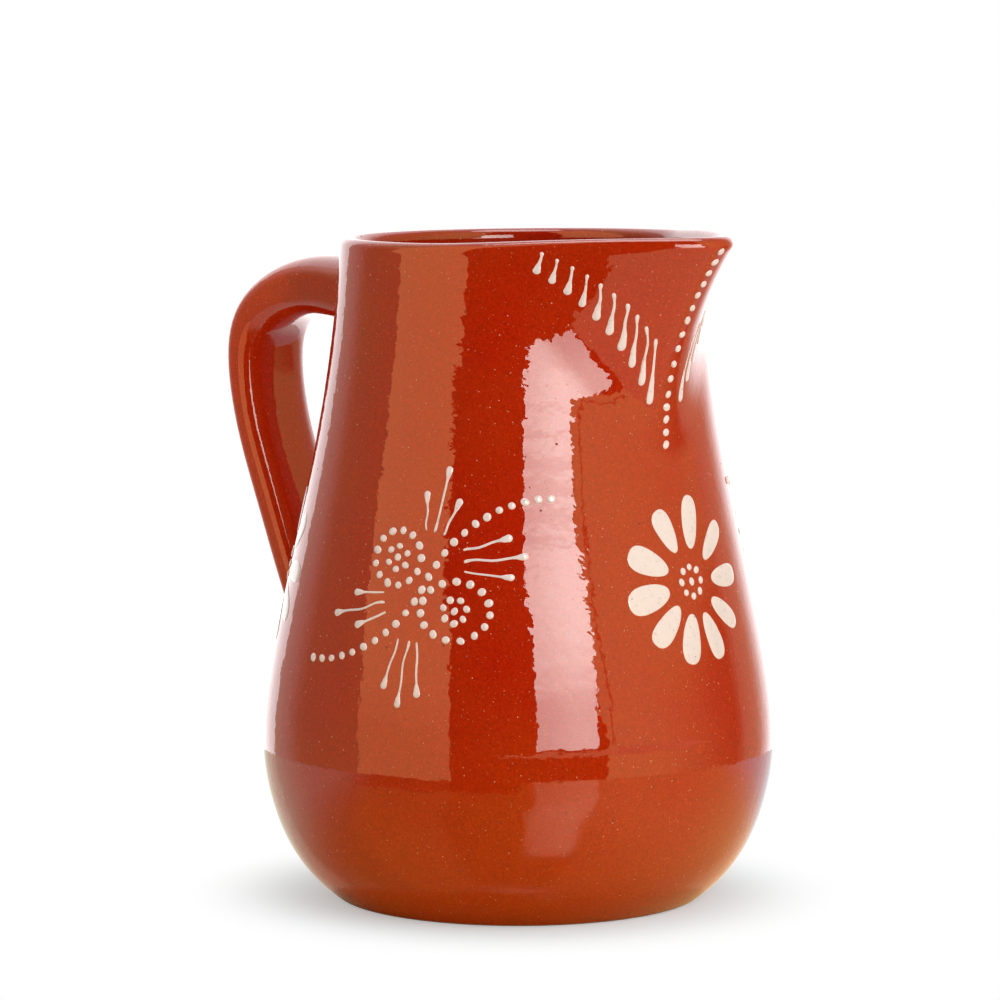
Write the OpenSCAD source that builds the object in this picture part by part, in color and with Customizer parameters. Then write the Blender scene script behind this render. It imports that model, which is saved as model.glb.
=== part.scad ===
// Clay pouring jug with a pulled lip, a strap handle and trailed slip decoration.
// Units are millimetres. The origin is the centre of the foot, +Z is up, the lip points along +X
// and the handle along -X. Right is the -Y side, the right hand of whoever pours from the handle.

/* [Body] */
// Height of the rim above the foot
rim_h = 200; // [170:1:240]
// Outer radius of the rim, away from the lip
rim_r = 53.5; // [48:0.5:58]
// Outer radius of the belly
belly_r = 77.5; // [72:0.5:86]
// Height of the belly's widest ring
belly_h = 48; // [42:1:56]
// Radius of the flat foot
foot_r = 54.5; // [46:0.5:58]
// Wall thickness at the rim
rim_wall = 5; // [4:0.25:6]
// Wall thickness at the belly
belly_wall = 7; // [6:0.25:8]
// Thickness of the floor
floor_t = 8; // [6:0.5:10]
// Radius of the round top edge of the rim
edge_r = 3; // [2:0.1:4]

/* [Pouring lip] */
// How far the crest of the lip is pulled out beyond the round rim
lip_reach = 32.5; // [24:0.5:40]
// How far down from the rim the lip fades into the wall
lip_depth = 68; // [56:1:80]
// How much the tip of the lip stands above the rim beside it
lip_rise = 2; // [0:0.1:4]
// How much the rim leans down towards the handle
rim_lean = 0.7; // [0:0.1:2]
// How much the hand-pulled rim stands higher to the left of the lip than further round
rim_sway = 1.6; // [0:0.1:2.5]
// Half of the angle over which the crest of the lip is rounded
crest_angle = 8.6; // [6:0.2:12]
// Softness, as an angle, of the change from wall to lip
blend_angle = 6; // [3:0.5:9]

/* [Handle] */
// Distance from the jug's axis to the middle of the strap where it stands out most
handle_reach = 113.5; // [107:0.5:122]
// Height of the middle of the strap where it leaves the rim
handle_top_h = 178.5; // [175:0.5:181]
// Height of the middle of the strap where it meets the belly
handle_low_h = 58; // [54:1:64]
// Width of the strap
strap_w = 27.5; // [22:0.5:30]
// Thickness of the strap at its middle
strap_t = 13.5; // [11:0.5:16]
// Height of the upper joint, where the strap is thickest
joint_t = 20.5; // [16:0.5:21]

/* [Slip beads and strokes] */
// Width of a trailed bead
bead_d = 2.2; // [1.6:0.1:2.6]
// Height that a bead stands off the wall
bead_h = 0.85; // [0.5:0.05:1.1]
// Height that the thickest strokes and petals stand off the wall
slip_h = 0.8; // [0.4:0.05:1.2]
// Clearance under the slip, where it lies on the wall
seat_gap = 0.05; // [0.02:0.01:0.1]

/* [Daisies] */
// Number of petals
petals = 10; // [8:1:11]
// Distance from the flower's centre to the root of a petal
petal_root = 9.5; // [9:0.25:11]
// Distance from the flower's centre to the tip of a petal
petal_tip = 24.5; // [21:0.5:26]
// Width of a petal
petal_w = 7.6; // [5:0.1:8]
// Radius of the ring of seeds
seed_ring_r = 4.3; // [4:0.1:5]
// Number of seeds in the ring
seeds = 8; // [6:1:9]
// Width of a seed
seed_d = 2; // [1.6:0.1:2.2]
// Height of the flowers' centres
daisy_h = 101; // [94:1:108]

/* [Scrolls] */
// Half of the scroll's length
scroll_half = 38; // [34:0.5:40]
// Half of the scroll's height
scroll_drop = 24.5; // [22:0.5:27]
// Height of the scrolls' centres
scroll_h = 102.5; // [98:0.5:106]
// Radius of the upper ring of beads
ring_r = 7.9; // [7.2:0.1:8.4]
// Half width of the lower ring of beads
oval_r = 10.2; // [9.6:0.1:10.6]
// Length of the longest stroke in a fan
fan_l = 19.5; // [15:0.5:21]
// Width of a fan stroke's head
fan_w = 1.9; // [1.4:0.1:2.2]

/* [Lip dashes and beads] */
// Number of dashes in each row beside the lip
dashes = 10; // [7:1:11]
// Width of a dash's head
dash_w = 2.4; // [1.8:0.1:2.8]
// Distance between the beads down the crest of the lip
crest_pitch = 3.6; // [3:0.1:5]
// Clearance between the lowest of these beads and the front daisy
crest_gap = 15.3; // [8:0.1:20]

/* [Hidden] */

clay_red = [0.66, 0.23, 0.10];
slip_ivory = [0.98, 0.92, 0.85];

// The wall's outline, from foot to belly and from belly to rim, as shares of height and of radius
foot_shares = [[0, 0], [0.15, 0.39], [0.375, 0.717], [0.667, 0.927], [1, 1]];
neck_shares = [
    [0.13, 0.919], [0.276, 0.735], [0.44, 0.512], [0.605, 0.298], [0.77, 0.135], [0.9, 0.047], [1, 0]
];

// The handle's middle line: shares of the way out from the wall, and of the way down the handle
reach_shares = [0, 0.31, 0.63, 0.92, 1, 0.955, 0.865, 0.75, 0.65, 0.545, 0.435, 0.36];
drop_shares = [0, -0.02, -0.017, 0.055, 0.17, 0.316, 0.44, 0.57, 0.685, 0.796, 0.913, 1];

// Mesh counts
columns = 64;
outer_steps = 3;
table_steps = 8;
edge_steps = 4;
inner_steps = 16;
corner_steps = 7;
strap_steps = 2;
strap_sides = 24;
stroke_steps = 5;
stroke_sides = 5;
petal_sides = 12;
round_fn = 24;
// Columns crowd towards the lip by this share
crowd_share = 0.7;

// Where things sit around the jug, as angles from the lip
motif_angle = 68.2;
daisy_front_angle = 2.6;

function mix(a, b, t) = a + (b - a) * t;
function clamp(x) = max(0, min(1, x));
function ease(x) = let (t = clamp(x)) t * t * (3 - 2 * t);
function unit(v) = v / norm(v);

// A smooth curve that runs along a list of points
function eased(p, i) = p[i] - (p[i + 1] - 2 * p[i] + p[i - 1]) / 6;
function inner_controls(p) = [for (i = [1 : len(p) - 2]) eased(p, i)];
function end_to_end(p) = concat([p[0]], inner_controls(p), [p[len(p) - 1]]);
function extended(c) = concat([2 * c[0] - c[1]], c, [2 * c[len(c) - 1] - c[len(c) - 2]]);
function controls(p) = extended(end_to_end(p));
function spans(c) = len(c) - 3;
function blend(c, i, u) =
    (pow(1 - u, 3) * c[i] + (3 * pow(u, 3) - 6 * u * u + 4) * c[i + 1]
    + (-3 * pow(u, 3) + 3 * u * u + 3 * u + 1) * c[i + 2] + pow(u, 3) * c[i + 3]) / 6;
function along(c, t) = let (i = min(floor(t), spans(c) - 1)) blend(c, i, t - i);

// The round wall: radius against height
outline = controls(concat(
    [for (s = foot_shares) [mix(foot_r, belly_r, s[1]), belly_h * s[0]]],
    [for (s = neck_shares) [mix(rim_r, belly_r, s[1]), mix(belly_h, rim_h, s[0])]]
));
wall_table = [
    for (i = [0 : spans(outline) * table_steps])
        let (q = along(outline, i / table_steps)) [q[1], q[0]]
];
function wall_r(z) = lookup(z, wall_table);

// The lip: the wall turns into two flat flanks that meet in a round crest
function fade(z) = pow(clamp((z - rim_h + lip_depth) / lip_depth), 2);
function flank(a, r, pull, soft) =
    let (q = acos(r / (r + pull)) + crest_angle - sqrt(a * a + crest_angle * crest_angle))
    (q + sqrt(q * q + soft * soft)) / 2;
function pulled(a, r, pull) = r / cos(flank(a, r, pull, blend_angle * sqrt(pull / lip_reach)));
rise_angle = 52;
function lift(a, z) =
    fade(z) * (
        rim_lean * cos(a) + rim_sway * sin(a) * pow((1 + cos(a)) / 2, 2)
        + lip_rise * pow(clamp(1 - pow(a / rise_angle, 2)), 2)
    );
function outer_r(a, z) = pulled(a, wall_r(z), lip_reach * fade(z));
function polar(a, r, z) = [r * cos(a), r * sin(a), z];
function on_wall(a, z) = polar(a, outer_r(a, z), z + lift(a, z));

// The outward direction of the wall
probe_angle = 0.5;
probe_share = 0.0025;
probe_h = rim_h * probe_share;
function side_step(a, z) = on_wall(a + probe_angle, z) - on_wall(a - probe_angle, z);
function up_step(a, z) = on_wall(a, min(z + probe_h, rim_h)) - on_wall(a, z - probe_h);
function outward(a, z) = unit(cross(side_step(a, z), up_step(a, z)));
function over_wall(a, z, gap) = on_wall(a, z) + gap * outward(a, z);

// The inside: the wall's thickness is taken off, and a round corner leads to the floor
tip_share = 0.97;
inner_lip = lip_reach * tip_share;
corner_r = belly_r - belly_wall;
corner_w = corner_r / 2;
function wall_t(z) = mix(rim_wall, belly_wall, (rim_h - z) / (rim_h - belly_h));
function inner_r(a, z) = pulled(a, wall_r(z) - wall_t(z), inner_lip * fade(z));

top_h = rim_h - edge_r;
function wall_ring(z) = [for (a = angles) on_wall(a, z)];
function edge_point(a, up) =
    let (out = outer_r(a, top_h), in = inner_r(a, top_h))
    polar(a, (out + in) / 2 + (out - in) / 2 * cos(up), top_h + edge_r * sin(up) + lift(a, top_h));
function edge_ring(up) = [for (a = angles) edge_point(a, up)];
function inner_ring(z) = [for (a = angles) polar(a, inner_r(a, z), z + lift(a, z))];
function corner_ring(down) =
    let (r = corner_r - corner_w + corner_w * cos(down), z = mix(belly_h, floor_t, sin(down)))
    [for (a = angles) polar(a, r, z)];

turns = [for (i = [0 : columns - 1]) (i + 0.5) * 360 / columns - 180];
angles = [for (t = turns) t - crowd_share * sin(t) * 180 / PI];

ring_count = spans(outline) * outer_steps;
outer_heights = [for (i = [0 : ring_count]) along(outline, i / outer_steps)[1] * top_h / rim_h];
inner_heights = [for (i = [1 : inner_steps]) mix(top_h, belly_h, i / inner_steps)];
edge_ups = [for (i = [1 : edge_steps]) 180 * i / edge_steps];
corner_downs = [for (i = [1 : corner_steps]) 90 * i / corner_steps];

body_rings = concat(
    [for (z = outer_heights) wall_ring(z)],
    [for (up = edge_ups) edge_ring(up)],
    [for (z = inner_heights) inner_ring(z)],
    [for (down = corner_downs) corner_ring(down)]
);

// A closed solid through rings of points that all have the same count
module lofted(rings) {
    n = len(rings[0]);
    last = (len(rings) - 1) * n;
    sides = [
        for (i = [0 : len(rings) - 2], j = [0 : n - 1])
            let (a = i * n + j, b = i * n + (j + 1) % n)
                each [[a, a + n, b + n], [a, b + n, b]]
    ];
    caps = [[for (j = [0 : n - 1]) j], [for (j = [n - 1 : -1 : 0]) last + j]];
    polyhedron(points = [for (r = rings) each r], faces = concat(sides, caps), convexity = 6);
}

module body() {
    color(clay_red) lofted(body_rings);
}

// The handle: an oval strap along its middle line, with both ends pressed onto the wall
top_root = wall_r(handle_top_h);
handle_points = [
    for (i = [0 : len(reach_shares) - 1])
        [mix(top_root, handle_reach, reach_shares[i]), mix(handle_top_h, handle_low_h, drop_shares[i])]
];
handle_line = controls(handle_points);
handle_spans = spans(handle_line);
function strap_mid(t) = along(handle_line, t);
probe_t = 0.1;
function strap_dir(t) =
    let (from = max(0, t - probe_t), to = min(handle_spans, t + probe_t))
    unit(strap_mid(to) - strap_mid(from));

// Half of the strap's thickness, as a vector that turns to lie along the wall at both ends
upper_span = 2;
lower_span = 2.5;
steepest = 0.5;
function near_end(t) = max(1 - ease(t / upper_span), ease((t - handle_spans + lower_span) / lower_span));
function thickness(t) = mix(joint_t, strap_t, ease(t / (handle_spans / 2)));
function thick_dir(t) =
    let (
        d = strap_dir(t),
        across = [d[1], -d[0]],
        upright = [0, -1 / max(abs(d[0]), steepest)]
    )
    mix(across, t < handle_spans / 2 ? upright : -upright, near_end(t));
function half_thick(t) = thick_dir(t) * thickness(t) / 2;
// The joints are smeared a little wider than the strap
smear_share = 0.12;
function half_width(t) = strap_w / 2 * (1 + smear_share * near_end(t));
// The oval's ends are flatter than an ellipse's by this power
oval_power = 0.8;
function bulge(x) = sign(x) * pow(abs(x), oval_power);

function strap_point(t, around) =
    let (m = strap_mid(t) + half_thick(t) * bulge(sin(around)), y = half_width(t) * bulge(cos(around)))
    [-m[0], y, m[1]];
function pressed(p) =
    let (a = atan2(p[1], p[0]), gap = outer_r(a, p[2]) + seat_gap) polar(a, gap, p[2]);
strap_turns = [for (j = [0 : strap_sides - 1]) -j * 360 / strap_sides];
function strap_ring(t) = [for (a = strap_turns) strap_point(t, a)];
// Rings that close an end, from its edge to its middle, all on the wall
joint_shares = [1, 0.65, 0.3];
function joint_ring(t, share) =
    let (m = strap_mid(t)) [for (p = strap_ring(t)) pressed(mix([-m[0], 0, m[1]], p, share))];
joint_count = len(joint_shares);
top_joint = [for (i = [joint_count - 1 : -1 : 0]) joint_ring(0, joint_shares[i])];
low_joint = [for (share = joint_shares) joint_ring(handle_spans, share)];
strap_rings = [for (i = [1 : handle_spans * strap_steps - 1]) strap_ring(i / strap_steps)];

module handle() {
    color(clay_red) lofted(concat(top_joint, strap_rings, low_joint));
}

// A bead of slip: a low round cap on the wall
module dome(d, h) {
    ball_r = (d * d / 4 + h * h) / (2 * h);
    intersection() {
        translate([0, 0, h - ball_r]) sphere(r = ball_r, $fn = round_fn);
        cylinder(r = d, h = 2 * h, $fn = round_fn);
    }
}

module bead(a, z, d, h) {
    n = outward(a, z);
    translate(over_wall(a, z, seat_gap)) rotate([0, acos(n[2]), atan2(n[1], n[0])]) dome(d, h);
}

// A place in a motif, u to its side and v up from its centre, as an angle and a height
function spot(centre, u, v) = [centre[0] + u / wall_r(centre[1]) * 180 / PI, centre[1] + v];

module motif_bead(centre, u, v, d) {
    s = spot(centre, u, v);
    bead(s[0], s[1], d, bead_h * d / bead_d);
}

// A stroke of slip, thin at its tail and full at its head, between two places on the wall
tail_share = 0.45;
flat_share = 0.7;
// Both ends are blunt: how full they are at the very end, and how fast they fill out
tail_end_share = 0.45;
tail_fill = 4;
head_end_share = 0.35;
head_fill = 5;
function blunted(s) = min(1, tail_end_share + tail_fill * s, head_end_share + head_fill * (1 - s));
function stroke_half(s, w) = w / 2 * mix(tail_share, 1, s * s) * blunted(s);
stroke_turns = [for (k = [0 : stroke_sides - 1]) 180 * k / (stroke_sides - 1)];
function stroke_ring(tail, head, s, w) =
    let (
        at = mix(tail, head, s),
        seat = over_wall(at[0], at[1], seat_gap),
        n = outward(at[0], at[1]),
        run = on_wall(head[0], head[1]) - on_wall(tail[0], tail[1]),
        across = unit(cross(run, n)),
        half = stroke_half(s, w)
    )
    [for (a = stroke_turns) seat - across * half * cos(a) + n * half * flat_share * sin(a)];

module stroke(tail, head, w) {
    lofted([for (i = [0 : stroke_steps]) stroke_ring(tail, head, i / stroke_steps, w)]);
}

// The crest of the lip carries one line of beads, from the rim down to its gap above the daisy
crest_from_share = 0.062;
crest_from_h = rim_h - lip_depth * crest_from_share;
crest_to_h = daisy_h + petal_tip + crest_gap;
crest_steps = floor((crest_from_h - crest_to_h) / crest_pitch);
module crest_beads_line() {
    color(slip_ivory)
        for (i = [0 : crest_steps])
            bead(0, mix(crest_from_h, crest_to_h, i / crest_steps), bead_d, bead_h);
}

// Each flank of the lip carries a row of dashes that grow longer towards the crest
tail_angles = [38, 7.2];
head_angles = [40, 6.2];
tail_shares = [0.035, 0.415];
head_shares = [0.125, 0.694];
tail_bow_share = 0.12;
head_bow_share = 0.2;
bow_angle = 8;
function bowed(ends, t, bow) = mix(ends[0], ends[1], t) - bow * t * (1 - t);
function dash_end(ends, shares, bow, t) =
    [bowed(ends, t, bow_angle), rim_h - lip_depth * bowed(shares, t, bow)];

module dash_row(side) {
    color(slip_ivory)
        for (i = [0 : dashes - 1]) {
            t = i / (dashes - 1);
            tail = dash_end(tail_angles, tail_shares, tail_bow_share, t);
            head = dash_end(head_angles, head_shares, head_bow_share, t);
            stroke([side * tail[0], tail[1]], [side * head[0], head[1]], dash_w);
        }
}

module lip_dashes_right() {
    dash_row(-1);
}

module lip_dashes_left() {
    dash_row(1);
}

// A daisy: egg-shaped petals round a ring of seeds
first_petal_angle = 78;
root_taper_share = 0.4;
petal_top_shares = [[0.93, 0.6], [0.55, 0.95]];
function petal_place(turn, around, share) =
    let (
        s = 0.5 - 0.5 * cos(around),
        r = mix(petal_root, petal_tip, 0.5 + (s - 0.5) * share),
        w = petal_w / 2 * sin(around) * share * mix(1 - root_taper_share, 1, s)
    )
    [r * cos(turn) - w * sin(turn), r * sin(turn) + w * cos(turn)];
function petal_ring(centre, turn, share, height) =
    [
        for (k = [0 : petal_sides - 1])
            let (p = petal_place(turn, 360 * k / petal_sides, share), s = spot(centre, p[0], p[1]))
                over_wall(s[0], s[1], seat_gap + height)
    ];
function fan_faces(ring, middle, flip) =
    [
        for (k = [0 : petal_sides - 1])
            let (a = ring + k, b = ring + (k + 1) % petal_sides) flip ? [a, b, middle] : [b, a, middle]
    ];
function band_faces(ring) =
    [
        for (k = [0 : petal_sides - 1])
            let (a = ring + k, b = ring + (k + 1) % petal_sides)
                each [[a, a + petal_sides, b + petal_sides], [a, b + petal_sides, b]]
    ];

module petal(centre, turn) {
    rings = concat(
        petal_ring(centre, turn, 1, 0),
        [for (s = petal_top_shares) each petal_ring(centre, turn, s[0], slip_h * s[1])]
    );
    mid = petal_place(turn, 0, 0);
    s = spot(centre, mid[0], mid[1]);
    under = over_wall(s[0], s[1], seat_gap);
    over = over_wall(s[0], s[1], seat_gap + slip_h);
    polyhedron(
        points = concat(rings, [under, over]),
        faces = concat(
            fan_faces(0, 3 * petal_sides, true),
            band_faces(0),
            band_faces(petal_sides),
            fan_faces(2 * petal_sides, 3 * petal_sides + 1, false)
        ),
        convexity = 2
    );
}

module daisy_petals(a) {
    color(slip_ivory)
        for (k = [0 : petals - 1])
            petal([a, daisy_h], first_petal_angle - k * 360 / petals);
}

module daisy_seeds(a) {
    color(slip_ivory) {
        motif_bead([a, daisy_h], 0, 0, seed_d);
        for (k = [0 : seeds - 1]) {
            turn = k * 360 / seeds;
            motif_bead([a, daisy_h], seed_ring_r * cos(turn), seed_ring_r * sin(turn), seed_d);
        }
    }
}

module daisy_front_petals() {
    daisy_petals(daisy_front_angle);
}

module daisy_front_seeds() {
    daisy_seeds(daisy_front_angle);
}

module daisy_right_petals() {
    daisy_petals(-2 * motif_angle);
}

module daisy_right_seeds() {
    daisy_seeds(-2 * motif_angle);
}

module daisy_left_petals() {
    daisy_petals(2 * motif_angle);
}

module daisy_left_seeds() {
    daisy_seeds(2 * motif_angle);
}

// A scroll: an S of two arcs, a round and an oval ring with their own small rings, and four fans
arc_r = (scroll_half * scroll_half + scroll_drop * scroll_drop) / (2 * scroll_drop);
arc_angle = asin(scroll_half / arc_r);
arm_beads = 12;
function arm_place(t) =
    [scroll_half - arc_r * sin(arc_angle * t), scroll_drop - arc_r * (1 - cos(arc_angle * t))];

module scroll_line(side) {
    color(slip_ivory)
        for (half = [-1, 1], i = [0 : arm_beads - 1]) {
            p = arm_place(i / (arm_beads - 0.5)) * half;
            motif_bead([side * motif_angle, scroll_h], -side * p[0], p[1], bead_d);
        }
}

// Rings of beads: middle as shares of the scroll's half length and half height, phase and count
ring_mid_shares = [-0.26, 0.28];
oval_mid_shares = [0.25, -0.31];
oval_flat_share = 0.83;
small_share = 0.43;
ring_beads = 13;
ring_seeds = 6;
oval_beads = 15;
oval_seeds = 7;
ring_phase = 84;
oval_phase = 114;

module bead_ring(centre, side, shares, rx, ry, count, phase) {
    for (k = [0 : count - 1]) {
        u = scroll_half * shares[0] + rx * cos(phase - k * 360 / count);
        v = scroll_drop * shares[1] + ry * sin(phase - k * 360 / count);
        motif_bead(centre, -side * u, v, bead_d);
    }
}

module scroll_rings(side) {
    centre = [side * motif_angle, scroll_h];
    oval_drop = oval_r * oval_flat_share;
    small_r = ring_r * small_share;
    color(slip_ivory) {
        bead_ring(centre, side, ring_mid_shares, ring_r, ring_r, ring_beads, ring_phase);
        bead_ring(centre, side, ring_mid_shares, small_r, small_r, ring_seeds, ring_phase);
        bead_ring(centre, side, ring_mid_shares, 0, 0, 1, 0);
        bead_ring(centre, side, oval_mid_shares, oval_r, oval_drop, oval_beads, oval_phase);
        bead_ring(centre, side, oval_mid_shares, small_r, small_r, oval_seeds, oval_phase);
        bead_ring(centre, side, oval_mid_shares, 0, 0, 1, 0);
    }
}

// Fans: root of the middle stroke as shares of the scroll's halves, direction and spread in degrees
fan_root_shares = [[0.045, 0.59], [0.3, 0.29], [-0.105, -0.69], [-0.34, -0.25]];
fan_turns = [[79, 16], [4, 11], [-94, 9], [-166, 10]];
short_share = 0.7;
fan_gap_share = 1.3;
fan_gap = fan_w * fan_gap_share;

module fan(centre, side, root_shares, turns) {
    for (k = [-1, 0, 1]) {
        turn = turns[0] + k * turns[1];
        long = fan_l * (k == 0 ? 1 : short_share);
        u = scroll_half * root_shares[0] - k * fan_gap * sin(turns[0]);
        v = scroll_drop * root_shares[1] + k * fan_gap * cos(turns[0]);
        tail = spot(centre, -side * u, v);
        head = spot(centre, -side * (u + long * cos(turn)), v + long * sin(turn));
        stroke(tail, head, fan_w);
    }
}

module scroll_strokes(side) {
    color(slip_ivory)
        for (i = [0 : len(fan_turns) - 1])
            fan([side * motif_angle, scroll_h], side, fan_root_shares[i], fan_turns[i]);
}

module scroll_right_line() {
    scroll_line(-1);
}

module scroll_right_rings() {
    scroll_rings(-1);
}

module scroll_right_strokes() {
    scroll_strokes(-1);
}

module scroll_left_line() {
    scroll_line(1);
}

module scroll_left_rings() {
    scroll_rings(1);
}

module scroll_left_strokes() {
    scroll_strokes(1);
}

body();
handle();
crest_beads_line();
lip_dashes_right();
lip_dashes_left();
daisy_front_petals();
daisy_front_seeds();
daisy_right_petals();
daisy_right_seeds();
daisy_left_petals();
daisy_left_seeds();
scroll_right_line();
scroll_right_rings();
scroll_right_strokes();
scroll_left_line();
scroll_left_rings();
scroll_left_strokes();
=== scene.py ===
"""Dresses the clay pouring jug: glazed red clay, trailed ivory slip and a plain studio."""

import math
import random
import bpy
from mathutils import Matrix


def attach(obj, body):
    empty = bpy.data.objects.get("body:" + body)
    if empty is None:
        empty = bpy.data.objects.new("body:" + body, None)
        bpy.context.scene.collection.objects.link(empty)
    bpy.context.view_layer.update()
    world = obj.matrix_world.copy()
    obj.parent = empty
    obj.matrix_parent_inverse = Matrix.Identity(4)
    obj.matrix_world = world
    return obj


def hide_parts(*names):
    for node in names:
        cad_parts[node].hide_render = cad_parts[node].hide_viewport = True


bl_info = {
    "name": "Slip-trailed clay jug",
    "version": (1, 0, 0),
    "blender": (4, 5, 0),
    "location": "View3D > Sidebar > Clay jug",
    "description": "Throws, decorates, glazes and lights a clay pouring jug",
    "category": "Object",
}

from bisect import bisect_right

import bmesh
import bpy
from bpy.props import FloatProperty, FloatVectorProperty, IntProperty, PointerProperty
from mathutils import Vector

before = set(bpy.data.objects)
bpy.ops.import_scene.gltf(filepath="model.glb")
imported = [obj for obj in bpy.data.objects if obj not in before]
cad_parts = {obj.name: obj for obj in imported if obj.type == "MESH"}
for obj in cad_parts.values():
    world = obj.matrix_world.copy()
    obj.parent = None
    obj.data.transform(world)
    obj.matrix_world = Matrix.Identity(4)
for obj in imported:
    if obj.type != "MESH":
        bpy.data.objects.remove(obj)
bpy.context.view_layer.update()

# The wall's outline from foot to belly and from belly to rim, as shares of height and of radius
FOOT_SHARES = ((0, 0), (0.15, 0.365), (0.375, 0.69), (0.667, 0.905), (1, 1))
NECK_SHARES = (
    (0.13, 0.919), (0.276, 0.735), (0.44, 0.512), (0.605, 0.298), (0.77, 0.135), (0.9, 0.047),
    (1, 0),
)
# The handle's middle line: shares of the way out from the wall and of the way down the handle
REACH_SHARES = (0, 0.31, 0.63, 0.92, 1, 0.955, 0.865, 0.75, 0.65, 0.545, 0.435, 0.36)
DROP_SHARES = (0, -0.02, -0.017, 0.055, 0.17, 0.316, 0.44, 0.57, 0.685, 0.796, 0.913, 1)
# How wide a stroke of slip is from its tail to its head, in the fans and beside the lip
FAN_SHARES = (
    (0, 0.38), (0.06, 0.42), (0.16, 0.28), (0.78, 0.31), (0.88, 0.78), (0.95, 1), (1, 0.95),
)
DASH_SHARES = (
    (0, 0.44), (0.06, 0.5), (0.18, 0.28), (0.48, 0.36), (0.72, 0.74), (0.88, 1), (1, 0.95),
)


def share(name, description, default, precision=4, **settings):
    """A plain number."""
    return FloatProperty(
        name=name, description=description, default=default, precision=precision, **settings
    )


def length(name, description, default):
    """A size in metres."""
    return share(name, description, default, precision=5, unit="LENGTH")


def angle(name, description, degrees):
    """An angle, written in degrees."""
    return share(name, description, math.radians(degrees), unit="ROTATION")


def colour(name, description, default):
    """A colour, as the light it gives back."""
    return FloatVectorProperty(
        name=name, description=description, default=default, subtype="COLOR", size=3, min=0, max=1
    )


class JugSizes(bpy.types.PropertyGroup):
    """Sizes of the thrown body and its pulled lip."""

    rim_height: length("Rim height", "Height of the rim above the foot", 0.2)
    rim_radius: length("Rim radius", "Outer radius of the rim, away from the lip", 0.0535)
    belly_radius: length("Belly radius", "Outer radius of the belly", 0.0773)
    belly_height: length("Belly height", "Height of the belly's widest ring", 0.048)
    foot_radius: length("Foot radius", "Radius of the flat foot", 0.0545)
    rim_wall: length("Rim wall", "Wall thickness at the rim", 0.005)
    belly_wall: length("Belly wall", "Wall thickness at the belly", 0.007)
    floor_thickness: length("Floor", "Thickness of the floor", 0.008)
    edge_radius: length("Rim edge", "Radius of the round top edge", 0.003)
    foot_bevel: length("Foot bevel", "How far the foot's edge is rubbed round", 0.0009)
    foot_hollow: length("Foot hollow", "How much the middle of the foot is scraped hollow", 0.0006)
    lip_reach: length("Lip reach", "How far the crest of the lip is pulled out", 0.03235)
    lip_depth: length("Lip depth", "How far down the lip fades into the wall", 0.068)
    lip_rise: length("Lip rise", "How much the tip stands above the rim", 0.002)
    rim_lean: length("Rim lean", "How much the rim leans down to the handle", 0.0007)
    rim_sway: length("Rim sway", "How much the rim stands higher left of the lip", 0.001)
    crest: angle("Crest", "Half of the angle over which the crest is rounded", 8.6)
    blend: angle("Blend", "Softness of the change from wall to lip", 6)
    rise_spread: angle("Rise spread", "Angle over which the tip's rise fades", 84)
    tip_share: share("Inner lip", "Pull of the lip's inside as a share of the outside's", 0.97)
    crowding: share("Crowding", "How much the columns crowd towards the lip", 0.7)
    columns: IntProperty(name="Columns", description="Columns of faces round the jug", default=256)


class HandleSizes(bpy.types.PropertyGroup):
    """Sizes of the pulled strap handle."""

    reach: length("Reach", "How far the strap's middle stands out from the axis at most", 0.1135)
    top_height: length("Top height", "Height of the strap's middle where it leaves the rim", 0.1785)
    low_height: length("Low height", "Height of the strap's middle where it meets the belly", 0.058)
    width: length("Width", "Width of the strap", 0.0275)
    thickness: length("Thickness", "Thickness of the strap at its middle", 0.0135)
    joint: length("Joint", "Height of the upper joint", 0.0205)
    smear: share("Smear", "How much wider the joints are than the strap", 0.12)
    fillet: length("Fillet", "How far from the wall the luted joint starts to spread", 0.004)
    spread: share("Spread", "How much the luted joint spreads on the wall", 0.16)
    oval: share("Oval", "How much flatter than an ellipse the strap's edges are", 0.8)


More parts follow.
